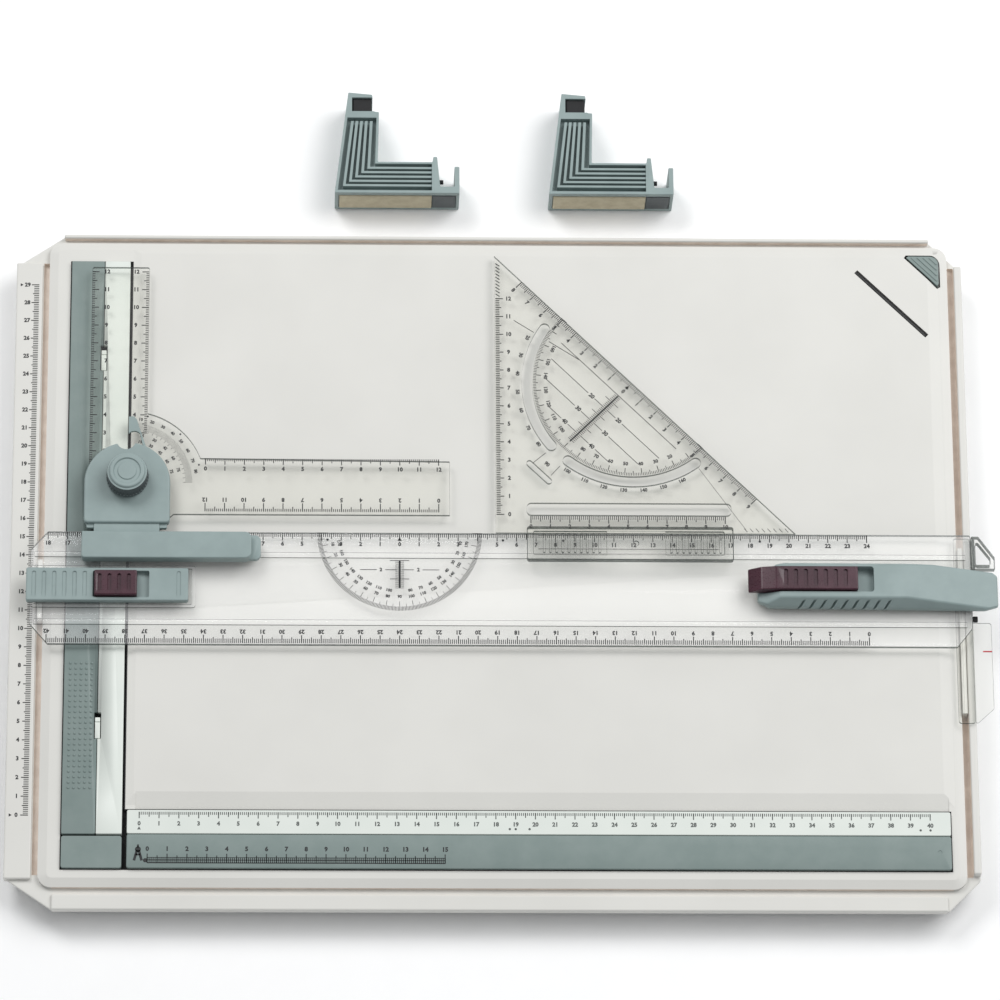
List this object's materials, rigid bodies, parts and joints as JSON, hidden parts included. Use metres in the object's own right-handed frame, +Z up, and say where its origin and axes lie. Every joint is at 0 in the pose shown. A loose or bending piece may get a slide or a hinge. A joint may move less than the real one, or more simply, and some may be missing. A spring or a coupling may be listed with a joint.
{
  "type": "portable drawing board",
  "caption": "Portable A3 drawing board with a parallel straightedge, sliding drafting head with L-shaped ruler, sliding set square, paper clamps and separate tilt stands.",
  "frame": {"origin": "middle of the whole object's footprint, at the level of the table", "axes": "+X to the user's right along the straightedge, +Y away from the user, +Z up from the drawing surface"},
  "size_m": [0.5058, 0.4488, 0.0428],
  "materials": {
    "shell_white": "fine-grained moulded ABS",
    "clamp_white": "satin moulded ABS",
    "handle_gray": "satin moulded ABS",
    "dark_gray": "matt moulded ABS",
    "lock_maroon": "polished moulded ABS",
    "clear_acrylic": "clear moulded acrylic",
    "rubber_black": "matt rubber",
    "pad_beige": "matt foam rubber",
    "steel": "plain",
    "index_red": "printed ink"
  },
  "bodies": {
    "board": {"drawing_board": "shell_white", "foot_front_left": "rubber_black", "foot_front_right": "rubber_black", "foot_rear_left": "rubber_black", "foot_rear_right": "rubber_black", "corner_block": "handle_gray", "left_clamp_rod": "steel", "bottom_clamp_rod": "steel", "left_clamp_spring": "steel", "bottom_clamp_spring": "steel", "corner_pin": "steel"},
    "left_clamp": {"left_clamp_grip": "handle_gray", "left_clamp_edge": "clamp_white"},
    "rear_latch": {"rear_latch": "clamp_white"},
    "front_latch": {"front_latch": "clamp_white"},
    "bottom_clamp": {"bottom_clamp_grip": "handle_gray", "bottom_scale_bar": "clamp_white"},
    "corner_clip": {"corner_key": "handle_gray", "corner_blade": "rubber_black", "corner_rocker": "steel"},
    "straightedge_carriage": {"straightedge": "clear_acrylic", "handle_screw_1": "steel", "handle_screw_2": "steel", "handle_screw_3": "steel", "handle_screw_4": "steel", "left_guide_shoe": "clear_acrylic", "right_guide_runner": "clear_acrylic", "left_handle": "handle_gray", "left_lock_spring": "steel", "right_handle": "handle_gray", "right_carriage": "clear_acrylic", "right_guide_tail": "clear_acrylic", "paper_edge_flap": "clear_acrylic", "index_line": "index_red", "friction_pad": "rubber_black"},
    "left_lock": {"left_lock_slider": "lock_maroon"},
    "right_lock": {"right_lock_lever": "lock_maroon"},
    "head": {"head_slider_bar": "handle_gray", "head_cover": "handle_gray", "head_base_disc": "dark_gray", "index_pointer": "handle_gray", "head_spindle": "steel", "pressure_washer": "steel"},
    "knob": {"head_knob": "handle_gray"},
    "l_ruler": {"l_ruler": "clear_acrylic"},
    "set_square": {"set_square": "clear_acrylic", "set_square_grip": "clear_acrylic", "set_square_runner": "clear_acrylic"},
    "left_stand": {"left_stand_frame": "handle_gray", "left_stand_pad": "pad_beige", "left_stand_end_panel": "dark_gray", "left_stand_rubber": "rubber_black", "left_stand_pin": "rubber_black"},
    "right_stand": {"right_stand_frame": "handle_gray", "right_stand_pad": "pad_beige", "right_stand_end_panel": "dark_gray", "right_stand_rubber": "rubber_black", "right_stand_pin": "rubber_black"}
  },
  "joints": [
    {"name": "straightedge_slide", "type": "slide", "parent": "board", "child": "straightedge_carriage", "axis": [0, 1, 0], "range_m": [-0.078, 0.148]},
    {"name": "head_slide", "type": "slide", "parent": "straightedge_carriage", "child": "head", "axis": [1, 0, 0], "range_m": [-0.025, 0.018]},
    {"name": "l_ruler_swivel", "type": "hinge", "parent": "head", "child": "l_ruler", "pos_m": [-0.1932, 0.002, 0.0235], "axis": [0, 0, 1], "range_deg": [0, 90]},
    {"name": "knob_turn", "type": "hinge", "parent": "head", "child": "knob", "pos_m": [-0.1932, 0.002, 0.0315], "axis": [0, 0, 1], "range_deg": [0, 180]},
    {"name": "set_square_slide", "type": "slide", "parent": "straightedge_carriage", "child": "set_square", "axis": [1, 0, 0], "range_m": [0, 0.075]},
    {"name": "left_lock_slide", "type": "slide", "parent": "straightedge_carriage", "child": "left_lock", "axis": [1, 0, 0], "range_m": [0, 0.0055]},
    {"name": "right_lock_slide", "type": "slide", "parent": "straightedge_carriage", "child": "right_lock", "axis": [1, 0, 0], "range_m": [0, 0.007]},
    {"name": "left_clamp_tilt", "type": "hinge", "parent": "board", "child": "left_clamp", "pos_m": [-0.209, -0.02935, 0.017], "axis": [0, -1, 0], "range_deg": [0, 3], "stiffness_Nm_per_rad": 0.3, "springref_deg": -2.86},
    {"name": "rear_latch_slide", "type": "slide", "parent": "left_clamp", "child": "rear_latch", "axis": [0, 1, 0], "range_m": [0, 0.0026]},
    {"name": "front_latch_slide", "type": "slide", "parent": "left_clamp", "child": "front_latch", "axis": [0, 1, 0], "range_m": [0, 0.0026]},
    {"name": "bottom_clamp_tilt", "type": "hinge", "parent": "board", "child": "bottom_clamp", "pos_m": [0.0171, -0.1884, 0.017], "axis": [1, 0, 0], "range_deg": [0, 3], "stiffness_Nm_per_rad": 0.3, "springref_deg": -2.86},
    {"name": "corner_clip_tilt", "type": "hinge", "parent": "board", "child": "corner_clip", "pos_m": [0.2116, 0.1142, 0.0112], "axis": [-0.7071, 0.7071, 0], "range_deg": [0, 4], "stiffness_Nm_per_rad": 0.1, "springref_deg": -5.73},
    {"name": "left_stand_pull", "type": "slide", "parent": "board", "child": "left_stand", "axis": [0, 1, 0], "range_m": [0, 0.12]},
    {"name": "right_stand_pull", "type": "slide", "parent": "board", "child": "right_stand", "axis": [0, 1, 0], "range_m": [0, 0.12]}
  ]
}
